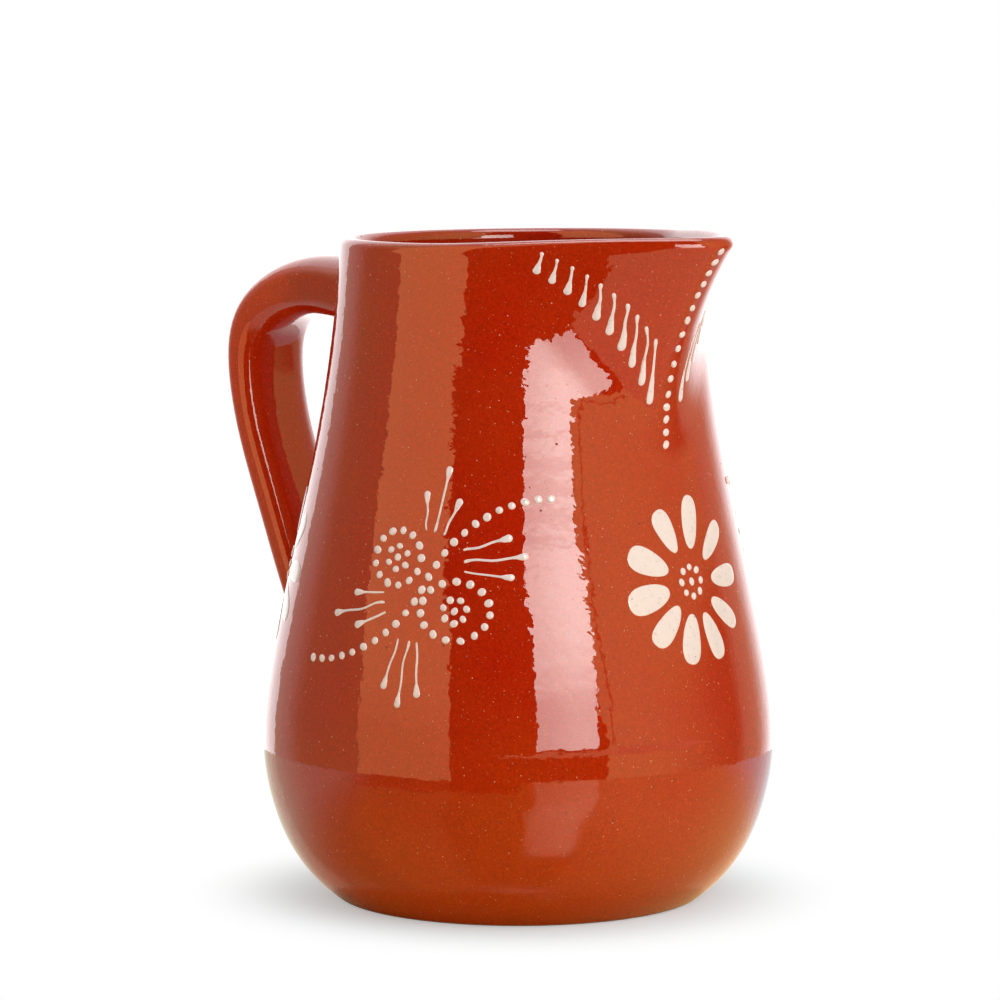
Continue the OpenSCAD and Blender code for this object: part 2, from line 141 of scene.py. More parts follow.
class SlipSizes(bpy.types.PropertyGroup):
    """Sizes and places of the trailed slip."""

    bead_width: length("Bead width", "Width of a trailed bead", 0.00236)
    bead_height: length("Bead height", "Height of a bead", 0.00046)
    slip_height: length("Slip height", "Height of the thickest strokes", 0.00034)
    petal_height: length("Petal height", "Height of the petals", 0.00026)
    seat: length("Seat", "Clearance of the slip over the wall", 0.00005)
    petals: IntProperty(name="Petals", description="Petals of a daisy", default=10)
    petal_root: length("Petal root", "Distance from the middle to a petal's root", 0.0095)
    petal_tip: length("Petal tip", "Distance from the middle to a petal's tip", 0.0245)
    petal_width: length("Petal width", "Width of a petal", 0.0083)
    petal_fat: share("Fuller petals", "How much fuller the petals are on the full side", 0.13)
    full_side: angle("Full side", "Direction of the daisy's full side", 160)
    petal_crowd: angle("Petal crowding", "How far the petals crowd round the daisy", 7)
    first_petal: angle("First petal", "Direction of the first petal", 78)
    seeds: IntProperty(name="Seeds", description="Seeds in a daisy's ring", default=8)
    seed_ring: length("Seed ring", "Radius of the ring of seeds", 0.0043)
    seed_width: length("Seed width", "Width of a seed", 0.0022)
    daisy_height: length("Daisy height", "Height of the daisies' middles", 0.101)
    daisy_front: angle("Front daisy", "Angle of the front daisy from the lip", 2.6)
    motif_step: angle("Motif step", "Angle between a motif and the next", 68.2)
    scroll_half: length("Scroll length", "Half of the scroll's length", 0.038)
    scroll_drop: length("Scroll drop", "Half of the scroll's height", 0.0245)
    scroll_height: length("Scroll height", "Height of the scrolls' middles", 0.1025)
    ring: length("Ring", "Radius of the upper ring of beads", 0.0079)
    oval: length("Oval", "Half width of the lower ring of beads", 0.0102)
    oval_flat: share("Oval flatness", "Height of the lower ring as a share of its width", 0.83)
    small: share("Small rings", "Radius of the small rings as a share of the round one", 0.43)
    fan_length: length("Fan length", "Length of the longest stroke in a fan", 0.0195)
    fan_width: length("Fan width", "Width of a fan stroke's head", 0.0022)
    fan_gap: share("Fan gap", "Gap between a fan's strokes as a share of their width", 1.3)
    dashes: IntProperty(name="Dashes", description="Dashes in each row beside the lip", default=10)
    dash_width: length("Dash width", "Width of a dash's head", 0.0024)
    crest_pitch: length("Crest pitch", "Distance between the beads down the crest", 0.0036)
    crest_gap: length("Crest gap", "Clearance between these beads and the front daisy", 0.0153)
    crest_bunch: share("Crest bunching", "How much the crest's beads bunch towards the tip", 0.05)
    hand: share("Hand", "How unevenly the potter's hand sets the slip down", 1)


class Finishes(bpy.types.PropertyGroup):
    """Colours of clay, glaze and slip."""

    clay_deep: colour("Deep clay", "Red clay under thick glaze", (0.47, 0.0165, 0.0015))
    clay_warm: colour("Warm clay", "Red clay under thin glaze", (0.47, 0.048, 0.004))
    clay_dry: colour("Bare clay", "Unglazed clay of the foot", (0.44, 0.15, 0.06))
    speck: colour("Specks", "Pale grains in the clay", (0.8, 0.4, 0.22))
    pit: colour("Pits", "Dark pinholes in the glaze", (0.1, 0.008, 0.003))
    slip: colour("Slip", "Ivory slip where it lies thick", (0.91, 0.775, 0.735))
    slip_thin: colour("Thin slip", "Slip where the clay shows through", (0.68, 0.34, 0.23))
    slip_grey: colour("Smears", "Greyish smears in the slip", (0.56, 0.45, 0.37))
    glaze_roughness: share("Glaze roughness", "Roughness of the clear glaze", 0.022)
    peel: length("Orange peel", "Depth of the glaze's fine waves", 0.00004)
    throwing: length("Throwing rings", "Depth of the rings left by the fingers", 0.00016)


class Studio(bpy.types.PropertyGroup):
    """The camera and the plain light."""

    view: angle("View", "Direction of the camera, round from the lip", -45)
    distance: length("Distance", "Distance of the camera from the axis", 1.45)
    height: length("Height", "Height of the camera", 0.275)
    pitch: angle("Pitch", "How far the camera looks down", 6.1)
    lens: share("Lens", "Focal length on a 36 mm sensor", 173.9)
    shift: share("Shift", "Sideways shift of the frame", -0.0183)
    plain: share("Plain level", "Strength of the world on surfaces that aren't glossy", 0.62)
    key: share("Key", "Strength of the soft lamp on surfaces that aren't glossy", 1.32)
    strip: share("Strip", "Strength of the strip light as the glaze mirrors it", 12.6)
    floor_radius: length("Floor", "Radius of the pale floor", 0.29)


def mix(a, b, t):
    """The value at share t of the way from a to b."""
    return a + (b - a) * t


def clamp(x):
    """x, held between 0 and 1."""
    return max(0.0, min(1.0, x))


def ease(x):
    """A soft step from 0 to 1."""
    t = clamp(x)
    return t * t * (3 - 2 * t)


def between(pairs, x):
    """The value at x on a soft line through (x, value) pairs."""
    for (x0, v0), (x1, v1) in zip(pairs, pairs[1:]):
        if x <= x1:
            return mix(v0, v1, ease((x - x0) / (x1 - x0)))
    return pairs[-1][1]


class SmoothLine:
    """A smooth line that runs along a list of points."""

    def __init__(self, points):
        inner = [
            p - (after - 2 * p + before) / 6
            for before, p, after in zip(points, points[1:], points[2:])
        ]
        run = [points[0], *inner, points[-1]]
        self.controls = [2 * run[0] - run[1], *run, 2 * run[-1] - run[-2]]
        self.spans = len(self.controls) - 3

    def at(self, t):
        """The point at t, which counts spans."""
        i = min(int(t), self.spans - 1)
        u = t - i
        a, b, c, d = self.controls[i : i + 4]
        near = 3 * u**3 - 6 * u * u + 4
        far = -3 * u**3 + 3 * u * u + 3 * u + 1
        return ((1 - u) ** 3 * a + near * b + far * c + u**3 * d) / 6


class Wall:
    """The jug's wall: where it stands at an angle from the lip and at a height."""

    # Steps in a span of the outline, in the table of radii
    fine = 64

    def __init__(self, sizes):
        self.size = sizes
        self.rim = sizes.rim_height
        self.top = self.rim - sizes.edge_radius
        foot, belly = sizes.foot_radius, sizes.belly_radius
        low = [Vector((mix(foot, belly, r), sizes.belly_height * z)) for z, r in FOOT_SHARES]
        high = [
            Vector((mix(sizes.rim_radius, belly, r), mix(sizes.belly_height, self.rim, z)))
            for z, r in NECK_SHARES
        ]
        self.outline = SmoothLine(low + high)
        table = [self.outline.at(i / self.fine) for i in range(self.outline.spans * self.fine + 1)]
        self.radii = [p.x for p in table]
        self.heights = [p.y for p in table]
        self.reach, self.depth = sizes.lip_reach, sizes.lip_depth
        self.crest, self.blend = sizes.crest, sizes.blend
        self.lean, self.sway, self.rise = sizes.rim_lean, sizes.rim_sway, sizes.lip_rise
        self.spread = sizes.rise_spread

    def round(self, z):
        """Radius of the round wall."""
        i = max(1, min(len(self.heights) - 1, bisect_right(self.heights, z)))
        z0, z1 = self.heights[i - 1], self.heights[i]
        return mix(self.radii[i - 1], self.radii[i], clamp((z - z0) / (z1 - z0)))

    def fade(self, z):
        """How much of the lip there is at a height."""
        return clamp((z - self.rim + self.depth) / self.depth) ** 2

    def pulled(self, a, r, pull):
        """A radius, pulled out into two flat flanks that meet in a round crest."""
        if pull <= 0:
            return r
        turn = math.acos(r / (r + pull)) + self.crest - math.hypot(a, self.crest)
        soft = self.blend * math.sqrt(pull / self.reach)
        return r / math.cos((turn + math.hypot(turn, soft)) / 2)

    def outer(self, a, z):
        """Radius of the outside."""
        return self.pulled(a, self.round(z), self.reach * self.fade(z))

    def thickness(self, z):
        """Thickness of the wall."""
        s = self.size
        return mix(s.rim_wall, s.belly_wall, (self.rim - z) / (self.rim - s.belly_height))

    def inner(self, a, z):
        """Radius of the inside, above the belly."""
        pull = self.reach * self.size.tip_share * self.fade(z)
        return self.pulled(a, self.round(z) - self.thickness(z), pull)

    def lift(self, a, z):
        """How much the hand-pulled rim is raised."""
        turned = self.lean * math.cos(a) + self.sway * math.sin(a) * ((1 + math.cos(a)) / 2) ** 2
        tip = self.rise * clamp(1 - (a / self.spread) ** 2) ** 2
        return self.fade(z) * (turned + tip)

    def point(self, a, z):
        """A point on the outside."""
        r = self.outer(a, z)
        return Vector((r * math.cos(a), r * math.sin(a), z + self.lift(a, z)))

    def outward(self, a, z):
        """The direction in which the outside faces."""
        da, dz = 0.008, 0.0005
        side = self.point(a + da, z) - self.point(a - da, z)
        up = self.point(a, min(z + dz, self.rim)) - self.point(a, z - dz)
        return side.cross(up).normalized()

    def over(self, a, z, gap):
        """A point that stands off the outside."""
        return self.point(a, z) + gap * self.outward(a, z)

    def under(self, p):
        """The angle and height of the wall beside a point."""
        a = math.atan2(p.y, p.x)
        z = p.z - self.lift(a, p.z)
        return a, p.z - self.lift(a, z)

    def spot(self, centre, u, v):
        """A place in a motif, u to its side and v up from its middle."""
        return centre[0] + u / self.round(centre[1]), centre[1] + v


class Wire:
    """A socket of a finish, on which sums are written as sums and add Math nodes."""

    def __init__(self, finish, socket):
        self.finish = finish
        self.socket = socket

    def math(self, operation, *values, clamped=False):
        """A Math node on some values."""
        settings = {"operation": operation, "use_clamp": clamped}
        sockets = dict(enumerate(values))
        return self.finish.node("ShaderNodeMath", settings, sockets, 0)

    def __add__(self, other):
        return self.math("ADD", self, other)

    __radd__ = __add__

    def __sub__(self, other):
        return self.math("SUBTRACT", self, other)

    def __rsub__(self, other):
        return self.math("SUBTRACT", other, self)

    def __mul__(self, other):
        return self.math("MULTIPLY", self, other)

    __rmul__ = __mul__

    def __pow__(self, other):
        return self.math("POWER", self, other)

    def over(self, other):
        """1 where this is more than other, else 0."""
        return self.math("GREATER_THAN", self, other)

    def wave(self):
        """The sine of this."""
        return self.math("SINE", self)

    def larger(self, other):
        """The larger of the two."""
        return self.math("MAXIMUM", self, other)

    def step(self, start, end):
        """A soft step from 0 at start to 1 at end."""
        settings = {"interpolation_type": "SMOOTHSTEP"}
        sockets = {"Value": self, "From Min": start, "From Max": end, "To Min": 0, "To Max": 1}
        return self.finish.node("ShaderNodeMapRange", settings, sockets, "Result")


class Finish:
    """The nodes of one material or world."""

    def __init__(self, owner):
        owner.use_nodes = True
        self.tree = owner.node_tree
        self.tree.nodes.clear()

    def node(self, kind, settings, sockets, *outputs):
        """Adds a node: its settings first, then its sockets. Gives the named outputs as Wires."""
        made = self.tree.nodes.new(kind)
        for key, value in settings.items():
            setattr(made, key, value)
        for key, value in sockets.items():
            socket = made.inputs[key]
            if isinstance(value, Wire):
                self.tree.links.new(value.socket, socket)
            else:
                socket.default_value = value
        wires = [Wire(self, made.outputs[output]) for output in outputs]
        return wires[0] if len(wires) == 1 else wires

    def place(self):
        """The point on the piece, in metres."""
        return self.node("ShaderNodeTexCoord", {}, {}, "Object")

    def axes(self, at, *names):
        """Some of the X, Y and Z of a point."""
        return self.node("ShaderNodeSeparateXYZ", {}, {"Vector": at}, *names)

    def rays(self, *kinds):
        """For each kind of ray, 1 where such a ray meets the surface."""
        return self.node("ShaderNodeLightPath", {}, {}, *[f"Is {kind} Ray" for kind in kinds])

    def noise(self, at, scale, detail=2.0, roughness=0.5):
        """Cloudy noise from 0 to 1."""
        sockets = {"Vector": at, "Scale": scale, "Detail": detail, "Roughness": roughness}
        return self.node("ShaderNodeTexNoise", {}, sockets, "Fac")

    def grains(self, at, scale, radius, kept):
        """Round grains: 1 in a grain, 0 outside. kept is the share of cells that hold one."""
        cell = {"Vector": at, "Scale": scale}
        tag, distance = self.node("ShaderNodeTexVoronoi", {}, cell, "Color", "Distance")
        chance, bulk = self.node("ShaderNodeSeparateColor", {}, {"Color": tag}, "Red", "Green")
        size = bulk * radius + radius * 0.5
        return chance.over(1 - kept) * (1 - distance.step(size * 0.6, size))

    def blend(self, mask, first, second):
        """A colour between two."""
        sockets = {0: mask, 6: first, 7: second}
        return self.node("ShaderNodeMix", {"data_type": "RGBA"}, sockets, 2)

    def scaled(self, tint, level):
        """A colour made lighter or darker."""
        sockets = {0: tint, "Scale": level}
        return self.node("ShaderNodeVectorMath", {"operation": "SCALE"}, sockets, 0)

    def matt(self, tint):
        """A matt surface."""
        return self.node("ShaderNodeBsdfDiffuse", {}, {"Color": tint}, 0)

    def glow(self, tint):
        """A surface that gives off light."""
        return self.node("ShaderNodeEmission", {}, {"Color": tint, "Strength": 1.0}, 0)

    def both(self, first, second):
        """Two surfaces added together."""
        return self.node("ShaderNodeAddShader", {}, {0: first, 1: second}, 0)

    def either(self, mask, first, second):
        """The first surface where the mask is 0, the second where it is 1."""
        return self.node("ShaderNodeMixShader", {}, {0: mask, 1: first, 2: second}, 0)

    def show(self, surface, kind="ShaderNodeOutputMaterial"):
        """Makes a surface the one that is seen."""
        self.node(kind, {}, {"Surface": surface})

    def glaze(self, base, roughness, height, depth):
        """A glossy surface with a fine relief."""
        waves = {"Strength": 1.0, "Distance": depth, "Height": height}
        relief = self.node("ShaderNodeBump", {}, waves, 0)
        sockets = {"Base Color": base, "Roughness": roughness, "Normal": relief, "IOR": 1.5}
        self.show(self.node("ShaderNodeBsdfPrincipled", {}, sockets, 0))


def rgba(tint):
    """A colour with full opacity."""
    return (*tint, 1.0)


def clay_finish(f):
    """Red clay under a clear gloss glaze, with the foot left bare."""
    look = bpy.context.scene.jug_finishes
    at = f.place()
    x, z = f.axes(at, "X", "Z")

    # Clouds, grains and pinholes. Their scales count them per metre
    cloud = f.noise(at, 34, 3.0, 0.55)
    drift = f.noise(at, 12, 1.0)
    grain = f.noise(at, 1500, 3.0, 0.75)
    fleck = f.noise(at, 900, 2.0, 0.6)
    specks = f.grains(at, 560, 0.11, 0.45)
    dots = f.grains(at, 1100, 0.16, 0.35)
    pits = f.grains(at, 300, 0.09, 0.22)

    # The glaze lies thinner, and the clay looks warmer, towards the foot. The handle's back is
    # painted
    # warmer and lighter: painted light from the left, which the lamps don't give it
    back = (x * -1).step(0.08, 0.095)
    thin = (1 - z.step(0.0, 0.075)) * 0.75 + back * 0.25 + (cloud - 0.5) * 0.9 + (drift - 0.5) * 0.5
    thin = thin.math("ADD", thin, 0.12, clamped=True)
    tone = f.blend(thin, rgba(look.clay_deep), rgba(look.clay_warm))
    # Painted light: the handle's back is made a third lighter, as it stands in the key lamp's shade
    tone = f.scaled(tone, (0.3 + 1.05 * grain + 0.34 * fleck) * (1 + 0.32 * back))
    tone = f.blend((specks * 0.55).larger(dots * 0.3), tone, rgba(look.speck))
    tone = f.blend(pits * 0.85, tone, rgba(look.pit))

    # The foot's underside is bare, dry clay
    edge = (fleck - 0.5) * 0.0006
    bare = 1 - (z + edge).step(0.0004, 0.0008)
    tone = f.blend(bare, tone, f.scaled(look.clay_dry, 0.75 + 0.5 * fleck))
    roughness = look.glaze_roughness + 0.05 * specks + 0.6 * pits + 0.015 * (cloud - 0.5)

    # Fine waves of the glaze, rings of the potter's fingers and pinholes
    peel = 0.95 * f.noise(at, 380, 1.0, 0.4) + 0.1 * f.noise(at, 1000, 1.0)
    peel = peel + 2.0 * f.noise(at, 75, 1.0)
    ring = (z * 780 + cloud * 5).wave() * 0.5 + (z * 310 + drift * 9).wave() * 0.5
    ring = ring * (look.throwing / look.peel * 0.08)
    relief = peel + ring + specks * 0.7 - pits * 1.4 + bare * grain * 3
    f.glaze(tone, roughness + bare * 0.8, relief, look.peel)


def slip_finish(f):
    """Ivory slip under the same clear glaze. The clay shows through where it lies thin."""
    look = bpy.context.scene.jug_finishes
    at = f.place()
    thick = f.node("ShaderNodeAttribute", {"attribute_name": "thickness"}, {}, "Fac")
    cloud = f.noise(at, 300, 3.0, 0.6)
    grain = f.noise(at, 2600, 2.0, 0.6)
    smear = f.noise(at, 620, 3.0, 0.65)
    pits = f.grains(at, 420, 0.1, 0.35)

    cover = (thick + (cloud - 0.5) * 0.3).step(-0.02, 0.3)
    tone = f.blend(smear.step(0.54, 0.74) * 0.4, rgba(look.slip), rgba(look.slip_grey))
    tone = f.scaled(tone, 0.93 + 0.14 * grain)
    tone = f.blend(cover, rgba(look.slip_thin), tone)
    tone = f.blend(pits * 0.6, tone, rgba(look.pit))
    roughness = look.glaze_roughness + 0.03 + 0.05 * (cloud - 0.5)
    relief = f.noise(at, 500, 2.0) + grain * 0.15 - pits
    f.glaze(tone, roughness, relief, look.peel)


FINISHES = {
    "clay": ("glazed red clay", clay_finish),
    "slip": ("glazed ivory slip", slip_finish),
}


def material(name, paint):
    """A material by its name, with the nodes that paint adds to it."""
    made = bpy.data.materials.get(name)
    if made is None:
        made = bpy.data.materials.new(name)
        paint(Finish(made))
    return made


def put(name, data):
    """Adds an object to the scene."""
    made = bpy.data.objects.new(name, data)
    bpy.context.scene.collection.objects.link(made)
    return made


def shaped(name, bm, finish):
    """Makes a bmesh an object with one material."""
    mesh = bpy.data.meshes.new(name)
    bm.to_mesh(mesh)
    bm.free()
    mesh.materials.append(finish)
    return put(name, mesh)


def finished(name, bm, slot, node):
    """Makes a bmesh an object that stands for a node of the frame."""
    piece = shaped(name, bm, material(*FINISHES[slot]))
    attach(piece, "root")
    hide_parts(node)


def thrown_profile(wall):
    """Half of the body's section, from the foot's middle up the outside and down the inside."""
    per_span, edge_steps, wall_steps, bend_steps = 9, 12, 56, 14
    s = wall.size
    bevel, foot = s.foot_bevel, s.foot_radius
    heel = Vector((wall.round(bevel), bevel))
    corner = Vector((foot, 0))
    toe = Vector((foot - 1.6 * bevel, 0))
    rubbed = [toe.lerp(corner, t).lerp(corner.lerp(heel, t), t) for t in (0, 0.25, 0.5, 0.75)]
    hollow = [
        (foot * out, s.foot_hollow * deep)
        for out, deep in ((0, 1), (0.3, 1), (0.6, 1), (0.8, 0.75), (0.88, 0.2), (0.92, 0))
    ]
    places = [i / per_span for i in range(wall.outline.spans * per_span + 1)]
    heights = [wall.outline.at(t).y * wall.top / wall.rim for t in places]
    outside = [(wall.round(z), z) for z in heights if z >= bevel]
    out, inn = wall.round(wall.top), wall.round(wall.top) - wall.thickness(wall.top)
    edge = []
    for i in range(1, edge_steps):
        up = math.pi * i / edge_steps
        across = (out + inn) / 2 + (out - inn) / 2 * math.cos(up)
        edge.append((across, wall.top + s.edge_radius * math.sin(up)))
    rows = [mix(wall.top, s.belly_height, i / wall_steps) for i in range(wall_steps + 1)]
    inside = [(wall.round(z) - wall.thickness(z), z) for z in rows]
    r = s.belly_radius - s.belly_wall
    bend = []
    for i in range(1, bend_steps + 1):
        down = math.pi / 2 * i / bend_steps
        drop = mix(s.belly_height, s.floor_thickness, math.sin(down))
        bend.append((r / 2 + r / 2 * math.cos(down), drop))
    floor = [(r * part, s.floor_thickness) for part in (0.3, 0.12, 0)]
    return [*hollow, *rubbed, *outside, *edge, *inside, *bend, *floor]


def pull_lip(wall, v):
    """Moves one point of the round pot to where the pulled lip has it."""
    r, z = math.hypot(v.co.x, v.co.y), v.co.z
    turn = math.atan2(v.co.y, v.co.x)
    a = turn - wall.size.crowding * math.sin(turn)
    level = min(z, wall.top)
    if wall.fade(level) > 0:
        round_out = wall.round(level)
        round_in = round_out - wall.thickness(level)
        if z > wall.top:
            across = (r - round_in) / (round_out - round_in)
            r = mix(wall.inner(a, level), wall.outer(a, level), across)
        elif r > (round_out + round_in) / 2:
            r = wall.outer(a, level)
        else:
            r = wall.inner(a, level)
    v.co = (r * math.cos(a), r * math.sin(a), z + wall.lift(a, level))


class JUG_OT_throw_body(bpy.types.Operator):
    """Throws the body: spins its section, then pulls the lip out of the round rim"""

    bl_idname = "jug.throw_body"
    bl_label = "Throw the body"

    def execute(self, context):
        wall = Wall(context.scene.jug_sizes)
        bm = bmesh.new()
        section = [bm.verts.new((p[0], 0, p[1])) for p in thrown_profile(wall)]
        lines = [bm.edges.new(pair) for pair in zip(section, section[1:])]
        bmesh.ops.spin(
            bm, geom=section + lines, cent=(0, 0, 0), axis=(0, 0, 1),
            angle=math.tau, steps=wall.size.columns, use_merge=True,
        )
        bmesh.ops.remove_doubles(bm, verts=bm.verts[:], dist=0.00001)
        bmesh.ops.recalc_face_normals(bm, faces=bm.faces[:])
        for v in bm.verts:
            pull_lip(wall, v)
        for face in bm.faces:
            face.smooth = True
        finished("thrown_body", bm, "clay", "body")
        return {"FINISHED"}


class JUG_OT_pull_handle(bpy.types.Operator):
    """Pulls the strap handle and lutes both ends onto the wall"""

    bl_idname = "jug.pull_handle"
    bl_label = "Pull the handle"
    # Faces along the strap and round it
    stations = 110
    sides = 56
    # How much the stations crowd at the two joints, and over how many spans each joint widens
    crowding = 0.86
    top_spans = 2
    low_spans = 2.5

    def strap(self, context):
        """Where the strap's surface is, at t along it and an angle around it."""
        wall = Wall(context.scene.jug_sizes)
        h = context.scene.jug_handle
        root = wall.round(h.top_height)
        line = SmoothLine([
            Vector((mix(root, h.reach, out), mix(h.top_height, h.low_height, down)))
            for out, down in zip(REACH_SHARES, DROP_SHARES)
        ])
        spans = line.spans

        def oval(x):
            """A sine or cosine, for a strap with fuller edges than an ellipse."""
            return math.copysign(abs(x) ** h.oval, x)

        def place(t, around):
            """A point of the strap."""
            low = ease((t - spans + self.low_spans) / self.low_spans)
            end = max(1 - ease(t / self.top_spans), low)
            run = (line.at(min(spans, t + 0.1)) - line.at(max(0, t - 0.1))).normalized()
            upright = Vector((0, -1 / max(abs(run.x), 0.5)))
            if t >= spans / 2:
                upright = -upright
            across = Vector((run.y, -run.x)).lerp(upright, end)
            half = mix(h.joint, h.thickness, ease(t / (spans / 2))) / 2
            middle = line.at(t)
            p = middle + across * half * oval(math.sin(around))
            p = Vector((-p.x, h.width / 2 * (1 + h.smear * end) * oval(math.cos(around)), p.y))
            centre = Vector((-middle.x, 0, middle.y))
            gap = math.hypot(p.x, p.y) - wall.outer(math.atan2(p.y, p.x), p.z)
            return centre + (p - centre) * (1 + h.spread * clamp(1 - gap / h.fillet) ** 2)

        def seated(p):
            """The same point, set down on the wall."""
            a = math.atan2(p.y, p.x)
            r = wall.outer(a, p.z) + context.scene.jug_slip.seat
            return Vector((r * math.cos(a), r * math.sin(a), p.z))

        return spans, place, seated

    def execute(self, context):
        spans, place, seated = self.strap(context)
        bm = bmesh.new()
        around = bm.verts.layers.float.new("around")
        ring = bmesh.ops.create_circle(bm, segments=self.sides, radius=1)["verts"]
        for v in ring:
            v[around] = -math.atan2(v.co.y, v.co.x)
            v.co = seated(place(0, v[around]))
        edges = bm.edges[:]
        bmesh.ops.contextual_create(bm, geom=edges)
        for i in range(1, self.stations + 1):
            s = i / self.stations
            t = spans * (s - self.crowding * math.sin(math.tau * s) / math.tau)
            grown = bmesh.ops.extrude_edge_only(bm, edges=edges)["geom"]
            edges = [e for e in grown if isinstance(e, bmesh.types.BMEdge)]
            for v in grown:
                if isinstance(v, bmesh.types.BMVert):
                    p = place(min(t, spans), v[around])
                    v.co = seated(p) if i == self.stations else p
        bmesh.ops.contextual_create(bm, geom=edges)
        bmesh.ops.recalc_face_normals(bm, faces=bm.faces[:])
        for face in bm.faces:
            face.smooth = len(face.verts) == 4
        finished("strap_handle", bm, "clay", "handle")
        return {"FINISHED"}


class Trailer:
    """The potter's slip trailer: sets touches of slip down on the wall, one after another."""

    def __init__(self, context, name):
        self.wall = Wall(context.scene.jug_sizes)
        self.slip = context.scene.jug_slip
        self.name = name
        self.hand = random.Random(name)
        self.bm = bmesh.new()
        self.thickness_layer = self.bm.verts.layers.float.new("thickness")

    def sway(self, amount):
        """A small uneven amount, as a hand leaves it."""
        return self.hand.uniform(-amount, amount) * self.slip.hand

    def touch(self, sides, rows, lay):
        """Adds half a sphere, closed underneath, each point of which lay(x, y) sets on the wall."""
        bm = self.bm
        sphere = {"u_segments": sides, "v_segments": 2 * rows, "radius": 1}
        made = bmesh.ops.create_uvsphere(bm, **sphere)["verts"]
        lines = {e for v in made for e in v.link_edges}
        faces = {f for v in made for f in v.link_faces}
        bmesh.ops.bisect_plane(
            bm, geom=[*made, *lines, *faces], dist=0.001,
            plane_co=(0, 0, 0), plane_no=(0, 0, 1), clear_inner=True,
        )
        kept = [v for v in made if v.is_valid]
        faces = {f for v in kept for f in v.link_faces}
        rim = {e for v in kept for e in v.link_edges if e.is_boundary}
        for face in faces:
            face.smooth = True
        for edge in rim:
            edge.smooth = False
        bmesh.ops.contextual_create(bm, geom=list(rim))
        for v in kept:
            a, z, rise, share_up = lay(v.co.x, v.co.y)
            v[self.thickness_layer] = share_up
            v.co = self.wall.over(a, z, self.slip.seat * 0.4 + rise)

    def crown(self, x, y):
        """How high a touch stands at (x, y) of its disc, as a share."""
        return (1 - clamp(math.hypot(x, y)) ** 3) ** 0.5

    def bead(self, a, z, width):
        """A trailed bead."""
        wall, slip = self.wall, self.slip
        n = wall.outward(a, z)
        side = Vector((-math.sin(a), math.cos(a), 0))
        side = (side - n * side.dot(n)).normalized()
        up = n.cross(side)
        rise = slip.bead_height * width / slip.bead_width * (1 + self.sway(0.12))
        lean = self.hand.uniform(0, math.pi)
        long = 1 + abs(self.sway(0.16))
        size = width / 2 * (1 + self.sway(0.09))
        centre = wall.point(a, z) + side * self.sway(0.00012) + up * self.sway(0.00012)
        main = side * math.cos(lean) + up * math.sin(lean)
        other = up * math.cos(lean) - side * math.sin(lean)

        def lay(x, y):
            high = self.crown(x, y)
            p = centre + main * x * size * long + other * y * size / math.sqrt(long)
            return *wall.under(p), rise * high, high

        self.touch(sides=14, rows=4, lay=lay)

    def motif_bead(self, centre, u, v, width):
        """A bead at a place in a motif."""
        self.bead(*self.wall.spot(centre, u, v), width)

    def stroke(self, tail, head, width, bow, widths, full=None):
        """A stroke of slip with a thin blunt tail and a full round head.

        full is the length that widths are for, where a stroke is a part of it.
        """
        wall, slip = self.wall, self.slip
        start, end = wall.point(*tail), wall.point(*head)
        run = end - start
        n = wall.outward(*[(p + q) / 2 for p, q in zip(tail, head)])
        across = run.cross(n).normalized()
        size = width / 2 * (1 + self.sway(0.08))
        bow += self.sway(0.012)
        kink, phase = self.sway(0.03), self.hand.uniform(0, math.tau)
        narrow = 1 + self.sway(0.12)

        def lay(x, y):
            s = clamp((1 + x) / 2)
            room = math.sqrt(max(1 - x * x, 1e-9))
            beside = max(-1.0, min(1.0, y / room))
            along = 1 - (1 - s) * run.length / full if full else s
            half = size * between(widths, clamp(along)) * mix(narrow, 1, s)
            left = clamp(min(s, 1 - s) * run.length / half)
            half *= math.sqrt(left * (2 - left))
            wave = kink * math.sin(1.6 * math.tau * s + phase) * (1 - s)
            offset = run.length * (bow * 4 * s * (1 - s) + wave)
            a = mix(tail[0], head[0], s)
            z = mix(tail[1], head[1], s)
            p = wall.point(a, z) + across * (offset + beside * half)
            high = math.sqrt(max(0.0, 1 - beside * beside)) * clamp(half / size)
            return *wall.under(p), slip.slip_height * high**0.85, clamp(high * 1.5)

        self.touch(sides=36, rows=5, lay=lay)

    def petal(self, centre, turn, root, tip, width):
        """A petal: an egg-shaped pool of slip with a crisp edge."""
        wall, slip = self.wall, self.slip
        half = width / 2
        bend = self.sway(0.05)
        taper = 0.42 + self.sway(0.1)

        def lay(x, y):
            s = (1 + x) / 2
            narrow = mix(1 - taper, 1, s**0.8)
            if abs(x) < 1:
                narrow *= (1 - abs(x) ** 2.4) ** (1 / 2.4) / max(math.sqrt(1 - x * x), 0.02)
            r = mix(root, tip, s)
            w = y * half * narrow + bend * half * 4 * s * (1 - s)
            u = r * math.cos(turn) - w * math.sin(turn)
            v = r * math.sin(turn) + w * math.cos(turn)
            high = self.crown(x, y)
            pool = 1 + 0.12 * x - 0.1 * (1 - math.hypot(x, y)) ** 2
            a, z = wall.spot(centre, u, v)
            return a, z, slip.petal_height * high * pool, high * 0.9

        self.touch(sides=44, rows=7, lay=lay)

    def done(self, node):
        """Finishes the slip as one piece that stands for a node."""
        bmesh.ops.recalc_face_normals(self.bm, faces=self.bm.faces[:])
        finished(self.name, self.bm, "slip", node)


